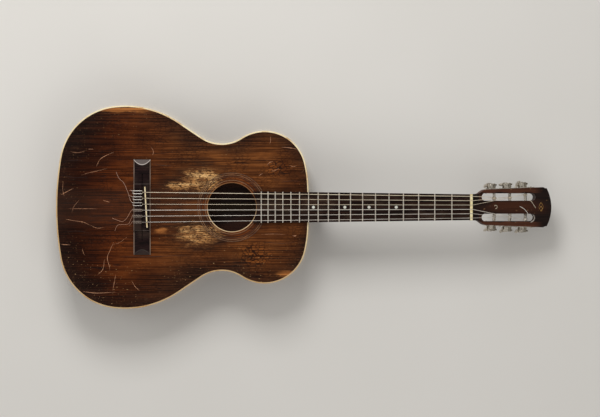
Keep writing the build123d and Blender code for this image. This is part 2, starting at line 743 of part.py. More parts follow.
with BuildPart() as worm_shape:
    with BuildSketch(Plane.XY.offset(-WORM_HALF)):
        Circle(WORM_ROOT)
    extrude(amount=2 * WORM_HALF)
    thread_z = -WORM_TURNS * WORM_PITCH / 2
    with BuildLine():
        Helix(WORM_PITCH, WORM_TURNS * WORM_PITCH, WORM_ROOT, center=(0, 0, thread_z))
    with BuildSketch(Plane(origin=(0, 0, thread_z), x_dir=(1, 0, 0), z_dir=(0, -1, 0))):
        with BuildLine():
            Polyline(
                (WORM_ROOT - 0.3, -THREAD_HALF[0]),
                (WORM_TIP, -THREAD_HALF[1]),
                (WORM_TIP, THREAD_HALF[1]),
                (WORM_ROOT - 0.3, THREAD_HALF[0]),
                close=True,
            )
        make_face()
    sweep(is_frenet=True)
    with BuildSketch(Plane.XY.offset(SHAFT_V[0])):
        Circle(PIN_R)
    extrude(amount=SHAFT_V[1] - SHAFT_V[0])
    with BuildSketch(Plane.XY.offset(EAR_V[1] + 0.3)):
        Circle(2.6)
    extrude(amount=BUTTON_V[0] - EAR_V[1] - 0.3)
    fillet(worm_shape.faces().sort_by(Axis.Z)[0].edges(), 0.6)


def paddle(height, wide, thick):
    """A rounded-oval slice of a tuner's button."""
    with BuildSketch(Plane.XY.offset(height)) as slice_:
        Ellipse(wide / 2, thick / 2)
    return slice_.sketch


with BuildPart() as button_shape:
    wide, thick = BUTTON_SIZE
    low, high = BUTTON_V
    loft(
        [
            paddle(low, 6.4, 5.2),
            paddle(low + 3.0, 8.6, 5.0),
            paddle(low + 7.0, wide * 0.94, thick * 0.90),
            paddle(low + 11.5, wide, thick),
            paddle(low + 16.0, wide * 0.82, thick * 0.86),
            paddle(high, wide * 0.42, thick * 0.45),
        ]
    )
    with BuildSketch(Plane.XY.offset(low)):
        Circle(PIN_R)
    extrude(amount=SHAFT_V[1] - low, mode=Mode.SUBTRACT)


def on_side(shape, plane, treble):
    """Puts a shape, drawn on XY, on a side plane of the head; the treble side is its mirror image."""
    placed = plane.from_local_coords(shape)
    return mirror(placed, about=Plane.XZ, mode=Mode.PRIVATE) if treble else placed


def worm_plane(post):
    """Plane across a worm's axis: X away from the post, Z to the rear."""
    side = side_plane(post)
    origin = side.from_local_coords(Vector(-CENTRES, 0, AXLE_W))
    return Plane(origin=origin, x_dir=-side.x_dir, z_dir=side.y_dir)


for side_name, treble in (("bass", False), ("treble", True)):
    with BuildPart() as machine_plate:
        add(on_side(plate_shape.part, side_plane(1), treble))
    save(machine_plate, f"tuner_plate_{side_name}")

with BuildPart() as plate_screws:
    for treble in (False, True):
        for u in SCREW_U:
            side = side_plane(1)
            place = side.from_local_coords(Vector(u, 0, 0))
            spot = Plane(origin=place, x_dir=side.x_dir, z_dir=side.z_dir)
            add(on_side(screw_shape.part, spot, treble))
save(plate_screws, "plate_screws")


def nut_exit(number):
    """Where a string leaves the nut."""
    diameter = STRINGS[number][0]
    return Vector(HEAD_X, string_y(number, STRING_NUT_GAP), NUT_SLOT_Z + diameter / 2 + 0.02)


WRAP_GAP = 0.3  # from a post to the string wound round it
WRAP_TURNS = 3.6
WRAP_FLESH = 0.88  # thickness of the sleeve that stands for the winding, in string diameters

for number, (diameter, post, reach) in STRINGS.items():
    treble = number < 4
    sign = -1 if treble else 1
    side = side_plane(post)
    half = side.origin.Y
    grip = (reach - half) / cos(radians(SIDE_TURN))  # outermost turn of string on the post
    hole_w = grip - WRAP_TURNS * diameter / 2

    with BuildPart() as string_post:
        add(post_shape.part)
        with Locations(Location((0, 0, hole_w), (90, 0, 0))):
            Cylinder(0.7, 3 * POST_R, mode=Mode.SUBTRACT)
    with BuildPart() as placed_post:
        add(on_side(string_post.part, side, treble))
    save(placed_post, f"string_post_{number}")

    with BuildPart() as tuner_gear:
        add(on_side(gear_shape.part, side, treble))
        add(on_side(cap_shape.part, side, treble))
    save(tuner_gear, f"tuner_gear_{number}")

    axle = worm_plane(post)
    with BuildPart() as tuner_worm:
        add(on_side(worm_shape.part, axle, treble))
    save(tuner_worm, f"tuner_worm_{number}")

    with BuildPart() as turned:
        add(button_shape.part, rotation=(0, 0, BUTTON_TURN[number]))
    with BuildPart() as tuner_button:
        add(on_side(turned.part, axle, treble))
    save(tuner_button, f"tuner_button_{number}")

    # the string: tied over the block, through it, over saddle and nut, down to its post
    radius = diameter / 2
    y = string_y(number, STRING_SADDLE_GAP)
    gap = radius + 0.04
    climb = atan2(SADDLE_Z + gap - TIE_HOLE_Z, SADDLE_X - TIE_X[1])
    bend = (SADDLE_T * 0.46 + gap) * tan(climb / 2) + 0.3
    saddle_x = SADDLE_X - y * tan(radians(SADDLE_SLANT)) - bend
    leave = nut_exit(number)
    turn_r = POST_R + WRAP_GAP + radius
    flesh = radius * WRAP_FLESH
    start = HEAD.to_local_coords(Vector(leave.X, leave.Y, leave.Z))
    rise = start.Z + POST_DEPTH
    run = POST_S[post] - start.X
    slope = atan2(rise, run) - atan2(turn_r, sqrt(rise**2 + run**2 - turn_r**2))
    touch = side.from_local_coords(Vector(turn_r * sin(slope), -turn_r * cos(slope), grip))
    path = [
        (TIE_X[1] + gap, y, TOP_Z + TIE_H - 2.2),
        (TIE_X[1] + gap, y, TOP_Z + TIE_H + gap),
        (TIE_X[0] - gap, y, TOP_Z + TIE_H + gap),
        (TIE_X[0] - gap, y, TIE_HOLE_Z),
        (TIE_X[1] + 0.6, y, TIE_HOLE_Z),
        (saddle_x, y, SADDLE_Z + gap),
        (leave.X, leave.Y, leave.Z),
        (touch.X, sign * touch.Y, touch.Z),
    ]
    with BuildPart() as string:
        with BuildLine() as way:
            FilletPolyline(*path, radius=0.9)
        with BuildSketch(Plane(origin=path[0], z_dir=(0, 0, 1))):
            Circle(radius)
        sweep(path=way.wires()[0])
        wrap = side if not treble else Plane(
            origin=(side.origin.X, -side.origin.Y, side.origin.Z),
            x_dir=side.x_dir,
            z_dir=(side.z_dir.X, -side.z_dir.Y, side.z_dir.Z),
        )
        with BuildSketch(wrap.offset(grip + flesh - WRAP_TURNS * diameter)):
            Circle(turn_r + flesh)
            Circle(turn_r - flesh, mode=Mode.SUBTRACT)
        extrude(amount=WRAP_TURNS * diameter)
    save(string, f"string_{number}")
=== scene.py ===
"""An old, worn twelve-fret acoustic guitar lying on its back, seen from straight above."""

import json
from math import atan2, cos, pi, radians, sin, sqrt

import bpy
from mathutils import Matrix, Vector, noise


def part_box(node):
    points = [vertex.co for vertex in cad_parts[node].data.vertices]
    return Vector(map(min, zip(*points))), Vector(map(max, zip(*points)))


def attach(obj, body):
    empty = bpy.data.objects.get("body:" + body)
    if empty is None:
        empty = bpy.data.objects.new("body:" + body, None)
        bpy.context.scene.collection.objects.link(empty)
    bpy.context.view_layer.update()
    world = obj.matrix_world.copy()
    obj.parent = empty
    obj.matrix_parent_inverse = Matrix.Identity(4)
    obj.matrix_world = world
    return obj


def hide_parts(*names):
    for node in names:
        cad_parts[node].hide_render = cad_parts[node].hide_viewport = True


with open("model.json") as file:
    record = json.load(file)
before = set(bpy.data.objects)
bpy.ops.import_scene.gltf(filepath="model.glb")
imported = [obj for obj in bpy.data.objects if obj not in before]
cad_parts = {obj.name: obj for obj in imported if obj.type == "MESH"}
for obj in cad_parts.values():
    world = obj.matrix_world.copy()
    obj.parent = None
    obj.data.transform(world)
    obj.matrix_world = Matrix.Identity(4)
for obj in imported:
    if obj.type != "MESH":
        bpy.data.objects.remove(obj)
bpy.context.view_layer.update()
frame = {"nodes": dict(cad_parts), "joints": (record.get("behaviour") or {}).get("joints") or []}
NODES = frame["nodes"]
JOINTS = {joint["name"]: joint for joint in frame["joints"]}
scene = bpy.context.scene
MM = 0.001

# ------------------------------------------------------------------ places on the frame, in metres

nut_low, nut_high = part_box("nut")
bridge_low, bridge_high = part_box("bridge")
saddle_low, saddle_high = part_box("saddle")
TOP_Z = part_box("top_binding")[1].z
HEAD_TILT = radians(14)
HEAD_STEP = 2.8 * MM  # the head's face at the nut, above the soundboard
HEAD_ORIGIN = Vector((nut_high.x, 0, TOP_Z + HEAD_STEP))
HEAD_ALONG = Vector((cos(HEAD_TILT), 0, -sin(HEAD_TILT)))
HEAD_UP = Vector((sin(HEAD_TILT), 0, cos(HEAD_TILT)))
NUT_GAP, SADDLE_GAP = 8.72, 12.0  # spacing of the strings at nut and saddle, in millimetres


def head_point(along, across, up=0.0):
    """A point given along, across and above the head's face, in millimetres."""
    return HEAD_ORIGIN + HEAD_ALONG * along * MM + Vector((0, across * MM, 0)) + HEAD_UP * up * MM


def top_point(along, across, up=0.0):
    """A point given along, across and above the soundboard, in millimetres."""
    return Vector((along * MM, across * MM, TOP_Z + up * MM))


# ------------------------------------------------------------------ camera, floor and light

VIEW_WIDTH = 1.209  # width of the view at the height of the soundboard
VIEW_CENTRE = (0.1372, -0.0026)
CAMERA_RISE = 6.0
SENSOR = 36.0
camera = bpy.data.objects.new("camera", bpy.data.cameras.new("camera"))
scene.collection.objects.link(camera)
camera.location = (*VIEW_CENTRE, TOP_Z + CAMERA_RISE)
camera.data.sensor_width = SENSOR
camera.data.lens = SENSOR * CAMERA_RISE / VIEW_WIDTH
scene.camera = camera
scene.view_settings.view_transform = "Standard"

FLOOR_SIZE = 12
FLOOR_DROP = 0.0005
bpy.ops.mesh.primitive_plane_add(size=FLOOR_SIZE, location=(0, 0, -FLOOR_DROP))
floor = bpy.context.object
floor.name = "floor"

# soft square lights: (name, place, point it aims at, size, power)
LIGHTS = (
    ("key", (-0.25, 1.7, 1.9), (0.05, 0, 0.05), 1.1, 34),
    ("fill", (0.9, -1.6, 1.8), (0.1, 0, 0.05), 1.8, 9),
    ("tail_fill", (-1.9, 0.3, 1.2), (0, 0, 0.05), 1.4, 8),
)
for name, place, aim, size, power in LIGHTS:
    lamp = bpy.data.objects.new(name, bpy.data.lights.new(name, "AREA"))
    lamp.data.size = size
    lamp.data.energy = power
    lamp.location = place
    lamp.rotation_euler = (Vector(aim) - Vector(place)).to_track_quat("-Z", "Y").to_euler()
    scene.collection.objects.link(lamp)

SKY = {"Color": (1, 0.985, 0.96, 1), "Strength": 0.42}
world = bpy.data.worlds.new("studio")
scene.world = world
world.use_nodes = True
for socket, value in SKY.items():
    world.node_tree.nodes["Background"].inputs[socket].default_value = value

# ------------------------------------------------------------------ material kit


def srgb(red, green, blue):
    """A linear colour from the usual 0 to 255 values."""
    linear = []
    for value in (red, green, blue):
        linear.append(((value / 255 + 0.055) / 1.055) ** 2.4 if value > 10 else value / 255 / 12.92)
    return (*linear, 1.0)


class Paint:
    """A node material, written as short expressions. Lengths are in metres."""

    def __init__(self, name, **sockets):
        self.material = bpy.data.materials.new(name)
        self.material.use_nodes = True
        self.tree = self.material.node_tree
        self.shader = self.tree.nodes["Principled BSDF"]
        self.set(**sockets)

    def set(self, **sockets):
        for name, value in sockets.items():
            self.plug(self.shader.inputs[name.replace("_", " ")], value)
        return self

    def plug(self, socket, value):
        if isinstance(value, bpy.types.NodeSocket):
            self.tree.links.new(value, socket)
        else:
            socket.default_value = value

    def node(self, kind, inputs=(), **settings):
        made = self.tree.nodes.new("ShaderNode" + kind)
        for name, value in settings.items():
            setattr(made, name, value)
        for key, value in dict(inputs).items():
            self.plug(made.inputs[key], value)
        return made

    def math(self, operation, a, b=0.0, c=0.0):
        return self.node("Math", {0: a, 1: b, 2: c}, operation=operation).outputs[0]

    def times(self, first, *others):
        for other in others:
            first = self.math("MULTIPLY", first, other)
        return first

    def plus(self, first, *others):
        for other in others:
            first = self.math("ADD", first, other)
        return first

    def swing(self, value, span):
        """A noise value moved to either side of zero, times span."""
        return self.times(self.math("SUBTRACT", value, 0.5), span)

    def spot(self, scale, offset=(0, 0, 0)):
        """Object coordinates, stretched."""
        place = self.node("TexCoord").outputs["Object"]
        return self.node("Mapping", {"Vector": place, "Scale": scale, "Location": offset}).outputs[0]

    def xyz(self):
        return self.node("SeparateXYZ", {0: self.node("TexCoord").outputs["Object"]}).outputs

    def noise(self, scale, offset=(0, 0, 0), detail=3.0, rough=0.5, twist=0.0):
        inputs = {"Vector": self.spot(scale, offset), "Scale": 1.0, "Detail": detail}
        inputs.update({"Roughness": rough, "Distortion": twist})
        return self.node("TexNoise", inputs).outputs["Fac"]

    def step(self, value, low, high, out_low=0.0, out_high=1.0):
        inputs = {0: value, 1: low, 2: high, 3: out_low, 4: out_high}
        return self.node("MapRange", inputs, interpolation_type="SMOOTHSTEP").outputs[0]

    def between(self, value, low, high, soft):
        """1 where a value is between low and high, fading over soft inside both."""
        return self.times(self.step(value, low, low + soft), self.step(value, high, high - soft))

    def mix(self, factor, a, b, blend="MIX"):
        made = self.node("Mix", data_type="RGBA", blend_type=blend)
        self.plug(made.inputs[0], factor)
        self.plug(made.inputs[6], a)
        self.plug(made.inputs[7], b)
        return made.outputs[2]

    def scaled(self, colour, red, green, blue):
        """A colour multiplied channel by channel."""
        return self.mix(1.0, colour, (red, green, blue, 1), "MULTIPLY")

    def tint(self, factor, colour, red, green, blue):
        """A colour mixed with itself multiplied channel by channel."""
        return self.mix(factor, colour, self.scaled(colour, red, green, blue))

    def ramp(self, value, *stops):
        made = self.node("ValToRGB", {0: value})
        bar = made.color_ramp.elements
        while len(bar) < len(stops):
            bar.new(0.5)
        for element, (place, colour) in zip(bar, stops):
            element.position = place
            element.color = colour
        return made.outputs[0]

    def bump(self, height, distance, strength, below=None):
        inputs = {"Height": height, "Distance": distance, "Strength": strength}
        if below is not None:
            inputs["Normal"] = below
        return self.node("Bump", inputs).outputs[0]

    def oval(self, centre, half):
        """Distance from a point in plan, 1 on an oval of those half sizes."""
        x, y, _ = self.xyz()
        across = self.math("DIVIDE", self.math("SUBTRACT", x, centre[0]), half[0])
        along = self.math("DIVIDE", self.math("SUBTRACT", y, centre[1]), half[1])
        return self.math("SQRT", self.plus(self.times(across, across), self.times(along, along)))

    def ovals(self, *places):
        """The least of the distances from several ovals."""
        least = self.oval(*places[0])
        for place in places[1:]:
            least = self.math("MINIMUM", least, self.oval(*place))
        return least


# ------------------------------------------------------------------ the soundboard's wood

# places of wear: centre and half sizes of ovals in plan, in metres
LOWER_BOUT = ((-0.205, 0), (0.152, 0.206))
UPPER_BOUT = ((0.068, 0), (0.088, 0.154))
WAIST = ((-0.045, 0), (0.150, 0.130))
CRACKLED = (((0.046, -0.098), (0.044, 0.028)), ((0.092, 0.078), (0.030, 0.020)))
BARE = (((-0.060, 0.056), (0.040, 0.024)), ((-0.068, -0.053), (0.046, 0.021)))
BARE_TONGUE = ((-0.102, 0.044), (0.034, 0.010))
RUBBED = (
    ((-0.143, -0.048), (0.016, 0.006)),
    ((0.112, -0.134), (0.026, 0.006)),
    ((-0.215, 0.197), (0.070, 0.006)),
)
# rings round the soundhole: radii in metres
LIP_R = 0.0504
HAIRLINES_R = (0.0555, 0.0712)
HAIRLINE_PITCH = 0.0035


def top_edge(p):
    """Distance from the middle of the soundboard, about 1 at its rim, made uneven."""
    bouts = p.math("SMOOTH_MIN", p.oval(*LOWER_BOUT), p.oval(*UPPER_BOUT), 0.12)
    edge = p.math("SMOOTH_MIN", bouts, p.oval(*WAIST), 0.12)
    return p.plus(edge, p.swing(p.noise((9, 9, 9)), 0.28))


def top_grain(p, fine, cloud, mottle):
    """Varnished spruce: slow changes of colour, blotches, bands and two sizes of grain."""
    bands = p.noise((2.2, 60.0, 1.6), rough=0.6, twist=0.2)
    rings = p.noise((9.0, 250.0, 9.0), (2, 4, 0), 2.0, 0.5, 0.2)
    colour = p.ramp(cloud, (0.32, srgb(74, 40, 19)), (0.50, srgb(106, 60, 28)), (0.70, srgb(134, 80, 38)))
    colour = p.tint(p.step(mottle, 0.40, 0.62, 0.0, 0.55), colour, 0.62, 0.56, 0.52)
    colour = p.tint(p.step(bands, 0.42, 0.62, 0.0, 0.35), colour, 1.22, 1.18, 1.08)
    colour = p.tint(p.step(rings, 0.50, 0.56, 0.0, 0.8), colour, 0.58, 0.54, 0.52)
    return p.tint(p.step(fine, 0.48, 0.55, 0.0, 0.95), colour, 0.42, 0.38, 0.36)


def top_shading(p, colour, fine, edge):
    """A darker, redder tail, a darker neck end and treble flank, and a burst towards the rim."""
    x, y, _ = p.xyz()
    colour = p.tint(p.step(x, -0.06, -0.26, 0.0, 0.85), colour, 0.66, 0.42, 0.26)
    colour = p.tint(p.step(x, -0.21, -0.33, 0.0, 0.9), colour, 0.18, 0.14, 0.16)
    colour = p.tint(p.step(x, 0.07, 0.13, 0.0, 0.5), colour, 0.50, 0.46, 0.50)
    flank = p.times(p.step(y, -0.06, -0.16), p.step(x, -0.08, -0.20), 0.6)
    colour = p.tint(flank, colour, 0.42, 0.40, 0.42)
    burst = p.mix(p.step(fine, 0.44, 0.56), srgb(48, 28, 19), srgb(22, 13, 10))
    return p.mix(p.step(edge, 0.72, 1.08, 0.0, 0.80), colour, burst)


def top_cracks(p):
    """Where dark cracks run along the grain."""
    crack = p.noise((3.4, 120.0, 2.6), (3.1, 0, 0), 2.0, 0.4, 0.6)
    gate = p.step(p.noise((13, 16, 10), (7, 3, 0), 2.0), 0.49, 0.56)
    return p.times(p.step(p.math("ABSOLUTE", p.math("SUBTRACT", crack, 0.5)), 0.016, 0.004), gate)


def top_crazing(p):
    """Where the varnish is crazed: in hairlines, and in wide lines."""
    settings = {"Vector": p.spot((110, 200, 110)), "Scale": 1.0, "Randomness": 1.0}
    cells = p.node("TexVoronoi", settings, feature="DISTANCE_TO_EDGE").outputs["Distance"]
    cells = p.plus(cells, p.times(p.noise((90, 90, 90), rough=0.7), 0.10))
    return p.step(cells, 0.066, 0.050), p.step(cells, 0.170, 0.080)


def top_chips(p, edge):
    """Specks knocked out of the varnish, in clusters, most of them near the rim and on the treble side."""
    specks = p.step(p.noise((230, 420, 230), detail=2.0), 0.675, 0.715)
    clusters = p.step(p.noise((15, 15, 15), (9, 2, 4), 2.0), 0.46, 0.60, 0.12, 1.0)
    chips = p.times(specks, p.step(edge, 0.10, 0.95, 0.12, 1.0), clusters)
    return p.times(chips, p.step(p.xyz()[1], 0.04, -0.12, 0.4, 1.0))


def bare_wood(p, streak, mottle):
    """Spruce with the varnish worn off: streaked, soiled and pitted."""
    dark, middle, light = srgb(112, 70, 38), srgb(176, 124, 72), srgb(238, 190, 128)
    colour = p.ramp(streak, (0.34, dark), (0.48, middle), (0.62, light))
    colour = p.mix(p.step(mottle, 0.44, 0.60, 0.0, 0.75), colour, srgb(104, 66, 38))
    pits = p.noise((150.0, 420.0, 150.0), (3, 1, 0), rough=0.7, twist=0.4)
    return p.mix(p.step(pits, 0.49, 0.57, 0.0, 0.9), colour, srgb(50, 30, 18))


def round_the_hole(p, colour, bare, cloud):
    """A redder band, the hairlines between the rosette's rings, and bare wood on the soundhole's lip, made
    paler on the treble side by a painted highlight.
    """
    ring = p.oval((0, 0), (1, 1))
    inner, outer = HAIRLINES_R
    band = p.times(p.step(ring, outer, outer - 0.0008), p.step(bare, 0.6, 0.2, 0.0, 0.45))
    colour = p.tint(band, colour, 1.5, 1.15, 0.95)
    lines = p.step(p.math("SINE", p.times(ring, 2 * pi / HAIRLINE_PITCH)), 0.55, 0.95)
    within = p.times(p.step(ring, inner, inner + 0.0005), p.step(ring, outer, outer - 0.0006))
    colour = p.mix(p.times(lines, within, 0.7), colour, srgb(28, 17, 12))
    lip = p.step(ring, LIP_R + 0.0004, LIP_R - 0.0004)
    # bare wood on the lip, with a painted highlight: pale on the treble side, where light falls on the inner
    # edge
    lip_wood_with_painted_highlight = p.mix(p.step(p.xyz()[1], 0.02, -0.03), srgb(150, 104, 66), srgb(238, 206, 160))
    return p.mix(p.times(lip, p.step(cloud, 0.3, 0.6, 0.95, 0.6)), colour, lip_wood_with_painted_highlight)


def aged_top():
    """Dark varnished spruce: burst edges, grain, cracks, crazing and two patches worn bare by playing."""
    p = Paint("aged_top", Specular_IOR_Level=0.07)
    x, y, _ = p.xyz()
    edge = top_edge(p)
    fine = p.noise((9.0, 620.0, 8.0), (0, 0, 0), 2.0, 0.6, 0.2)
    cloud = p.noise((7.0, 13.0, 7.0), (0, 0, 0), 4.0, 0.6, 0.3)
    mottle = p.noise((34.0, 60.0, 34.0), (0, 0, 0), 4.0, 0.65, 0.3)
    varnish = top_shading(p, top_grain(p, fine, cloud, mottle), fine, edge)
    cracks = top_cracks(p)
    varnish = p.mix(p.times(cracks, 0.85), varnish, srgb(20, 10, 8))
    # crazing, dark in the middle and pale towards the rim
    craze, wide_craze = top_crazing(p)
    patchy = p.noise((17, 20, 17), (1, 5, 0), rough=0.6)
    varnish = p.tint(p.times(craze, p.step(patchy, 0.50, 0.60, 0.0, 0.75)), varnish, 0.38, 0.34, 0.32)
    near_rim = p.times(p.step(edge, 0.72, 1.0), p.step(patchy, 0.56, 0.46))
    varnish = p.mix(p.times(craze, near_rim, 0.30), varnish, srgb(128, 92, 62))
    varnish = p.mix(p.times(top_chips(p, edge), 0.9), varnish, srgb(176, 138, 94))
    # two spots on the upper bout where the varnish is brighter and crackled
    crackled = p.step(p.plus(p.ovals(*CRACKLED), p.swing(cloud, 1.0)), 1.15, 0.55)
    varnish = p.tint(p.times(crackled, 0.7), varnish, 1.45, 1.35, 1.1)
    varnish = p.mix(p.times(wide_craze, crackled, 0.85), varnish, srgb(34, 19, 12))
    flecks = p.times(wide_craze, p.step(patchy, 0.46, 0.56, 0.05, 0.55))
    varnish = p.tint(flecks, varnish, 0.42, 0.38, 0.36)
    # bare wood each side of the strings, between bridge and soundhole, with a dark halo
    streak = p.noise((16.0, 300.0, 14.0), (0, 2, 0), 3.0, 0.65, 0.2)
    frayed = p.swing(streak, 2.6)
    lump = p.swing(p.noise((40, 90, 42), (0, 0, 0), 4.0, 0.65), 2.2)
    patches = p.math("MINIMUM", p.ovals(*BARE), p.plus(p.oval(*BARE_TONGUE), 0.10))
    worn = p.plus(patches, p.times(p.plus(frayed, lump), 0.72))
    bare = p.step(worn, 1.12, 0.72)
    varnish = p.mix(p.step(worn, 2.0, 1.0, 0.0, 0.5), varnish, srgb(44, 29, 19))
    colour = p.mix(p.times(bare, 0.94), varnish, bare_wood(p, streak, mottle))
    # orange rubs near the bridge and along the bouts' rims
    rub = p.plus(p.ovals(*RUBBED), p.times(frayed, 0.7), p.times(lump, 0.7))
    rub_wood = p.mix(p.step(fine, 0.42, 0.60), srgb(188, 120, 62), srgb(110, 62, 30))
    colour = p.mix(p.step(rub, 1.25, 0.35, 0.0, 0.85), colour, rub_wood)
    colour = round_the_hole(p, colour, bare, cloud)
    # grime under the strings
    grime = p.times(p.step(p.math("ABSOLUTE", y), 0.050, 0.020), p.step(x, -0.05, -0.10), 0.22)
    colour = p.mix(grime, colour, srgb(70, 48, 36))
    relief = p.plus(bare, cracks, p.times(craze, 0.5))
    height = p.math("SUBTRACT", p.times(fine, 0.3), relief)
    rough = p.step(p.plus(bare, p.times(mottle, 0.6)), 0.15, 1.1, 0.34, 0.8)
    normal = p.bump(height, 0.00018, 0.7, p.bump(mottle, 0.0004, 0.3))
    return p.set(Base_Color=colour, Roughness=rough, Normal=normal).material


# ------------------------------------------------------------------ the other woods


def dark_wood(name, dark, middle, light, lines, rough=0.36, wear=0.5):
    """Stained and varnished wood with pores, streaks, scuffs and rubbed-through spots."""
    p = Paint(name, Specular_IOR_Level=0.2)
    pores = p.noise((9.0, lines, lines * 0.6), detail=2.0, rough=0.6, twist=0.1)
    figure = p.noise((4.0, 26.0, 26.0), detail=4.0, rough=0.6, twist=0.5)
    cloud = p.noise((9, 9, 9), (4, 0, 1))
    colour = p.ramp(figure, (0.28, dark), (0.52, middle), (0.76, light))
    colour = p.mix(p.step(pores, 0.44, 0.60), p.scaled(colour, 0.62, 0.60, 0.58), colour)
    colour = p.mix(p.step(cloud, 0.62, 0.38, 0.0, 0.35), colour, dark)
    scuffs = p.noise((70, 150, 150), (2, 2, 2), detail=4.0, rough=0.7, twist=1.0)
    spots = p.times(p.step(scuffs, 0.64, 0.70), wear)
    colour = p.mix(spots, colour, p.scaled(light, 1.9, 1.7, 1.5))
    roughness = p.step(p.plus(spots, cloud), 0.3, 0.9, rough, rough + 0.22)
    return p.set(Base_Color=colour, Roughness=roughness, Normal=p.bump(pores, 0.00016, 0.6)).material


# reddish places on the head: ovals in plan, and how far out its rails begin, in metres
HEAD_MIDDLE = ((0.570, 0), (0.070, 0.020))
HEAD_RAILS = ((0.54, 0), (0.085, 0.2))
RAIL_Y = 0.0285


def head_face():
    """Near-black stained veneer, reddish in the middle and along the rails outside the slots."""
    p = Paint("head_face", Specular_IOR_Level=0.12)
    middle = p.oval(*HEAD_MIDDLE)
    warp = p.noise((30, 60, 30), detail=4.0, rough=0.65)
    reddish_middle = p.step(p.plus(middle, p.times(warp, 0.9)), 1.75, 0.75)
    fine = p.noise((8, 420, 8), detail=2.0, rough=0.6)
    colour = p.mix(reddish_middle, srgb(30, 19, 15), srgb(64, 34, 20))
    rail = p.plus(p.math("ABSOLUTE", p.xyz()[1]), p.swing(warp, 0.012))
    rail = p.times(p.step(rail, RAIL_Y, RAIL_Y + 0.0025), p.step(p.oval(*HEAD_RAILS), 1.1, 0.8), 0.75)
    colour = p.mix(rail, colour, srgb(94, 54, 36))
    colour = p.tint(p.step(fine, 0.42, 0.62), colour, 0.6, 0.58, 0.58)
    nicks = p.step(p.noise((160, 240, 160), detail=2.0), 0.70, 0.74, 0.0, 0.7)
    colour = p.mix(nicks, colour, srgb(140, 104, 70))
    rough = p.step(warp, 0.3, 0.7, 0.28, 0.5)
    return p.set(Base_Color=colour, Roughness=rough, Normal=p.bump(fine, 0.00012, 0.7)).material


# the bridge's tips and tie block: distances from its middle, in metres
TIP_Y = 0.0850
TIP_BOW = 0.0105
BLOCK_END_Y = 0.0462


def ebony(name, dark, light, dust):
    """Oiled black wood with fine streaks and dust; returns its paint, colour and slow noise."""
    p = Paint(name, Specular_IOR_Level=0.07)
    streak = p.noise((10, 380, 240), rough=0.6, twist=0.2)
    cloud = p.noise((24, 40, 24), rough=0.6)
    colour = p.ramp(streak, (0.34, dark), (0.68, light))
    colour = p.mix(p.step(cloud, 0.46, 0.68, 0.0, dust), colour, srgb(92, 74, 60))
    rough = p.step(cloud, 0.3, 0.7, 0.30, 0.50)
    p.set(Base_Color=colour, Roughness=rough, Normal=p.bump(streak, 0.00014, 0.7))
    return p, colour, cloud


def bridge_wood():
    """Ebony with its long edges rubbed pale, painted highlights on the facets and rims of its bow-shaped
    tips, and painted highlights along the ends of its tie block.
    """
    p, colour, cloud = ebony("bridge_wood", srgb(12, 7, 7), srgb(40, 24, 23), 0.14)
    low, high = bridge_low.x, bridge_high.x
    x, y, _ = p.xyz()
    inward = p.math("MINIMUM", p.math("SUBTRACT", x, low), p.math("SUBTRACT", high, x))
    rubbed = p.times(p.step(inward, 0.0019, 0.0013), p.step(cloud, 0.7, 0.35, 0.45, 0.95))
    colour = p.mix(rubbed, colour, srgb(132, 112, 98))
    out = p.math("ABSOLUTE", y)
    bow = p.math("DIVIDE", p.math("SUBTRACT", x, (low + high) / 2), (high - low) / 2)
    from_bow = p.math("SUBTRACT", out, p.times(bow, bow, TIP_BOW))
    # painted highlight on the tips' bevelled facets, stronger on the bass side that faces the light
    painted_facet_highlight = p.times(p.step(from_bow, TIP_Y, TIP_Y + 0.0010), p.step(y, -0.05, 0.05, 0.12, 0.75))
    colour = p.mix(painted_facet_highlight, colour, srgb(104, 94, 90))
    # painted highlight along the rim of each tip, also stronger on the bass side
    painted_rim_highlight = p.between(from_bow, TIP_Y - 0.0004, TIP_Y + 0.0018, 0.0006)
    colour = p.mix(p.times(painted_rim_highlight, p.step(y, -0.05, 0.05, 0.05, 0.9)), colour, srgb(190, 180, 172))
    # painted highlight along the ends of the tie block
    ends = p.between(out, BLOCK_END_Y, BLOCK_END_Y + 0.0012, 0.0004)
    colour = p.mix(p.times(ends, 0.55), colour, srgb(120, 106, 100))
    return p.set(Base_Color=colour).material


def raw_wood():
    """Unvarnished inner wood, browned with age and dust."""
    p = Paint("raw_wood")
    fine = p.noise((6, 300, 40), detail=2.0, rough=0.6)
    cloud = p.noise((12, 20, 12))
    colour = p.ramp(fine, (0.3, srgb(74, 54, 36)), (0.7, srgb(102, 78, 54)))
    colour = p.mix(p.step(cloud, 0.35, 0.7, 0.0, 0.5), colour, srgb(50, 34, 23))
    return p.set(Base_Color=colour, Roughness=0.8, Normal=p.bump(fine, 0.0003, 0.6)).material


# ------------------------------------------------------------------ other materials


def ivory(name, clean, stained, rough, spread):
    """Yellowed plastic or bone with grime in patches; returns its paint, colour and slow noise."""
    p = Paint(name, Subsurface_Weight=0.06, Subsurface_Radius=(0.002, 0.0012, 0.0006))
    cloud = p.noise((spread, spread, spread), detail=4.0, rough=0.65, twist=0.4)
    fine = p.noise((700, 700, 700), detail=2.0)
    colour = p.ramp(cloud, (0.32, stained), (0.55, clean), (0.8, clean))
    colour = p.mix(p.step(fine, 0.6, 0.72, 0.0, 0.5), colour, stained)
    roughness = p.step(cloud, 0.3, 0.7, rough + 0.2, rough)
    p.set(Base_Color=colour, Roughness=roughness, Normal=p.bump(fine, 0.00008, 0.5))
    return p, colour, cloud


def aged_binding_with_painted_shade():
    """Ivory plastic, darkened by painted shade towards the treble side and the tail."""
    stained = srgb(200, 160, 104)
    p, colour, cloud = ivory("binding", srgb(246, 228, 184), stained, 0.35, 26)
    x, y, _ = p.xyz()
    # painted shade: darker towards the treble side and the tail, broken up by the patchy stain
    slope = p.plus(y, p.times(x, 0.35))
    shade = p.plus(p.step(slope, 0.10, -0.16), p.swing(cloud, 0.8))
    dark = p.scaled(stained, 0.72, 0.62, 0.50)
    return p.set(Base_Color=p.mix(p.step(shade, 0.0, 1.0, 0.0, 0.7), colour, dark)).material


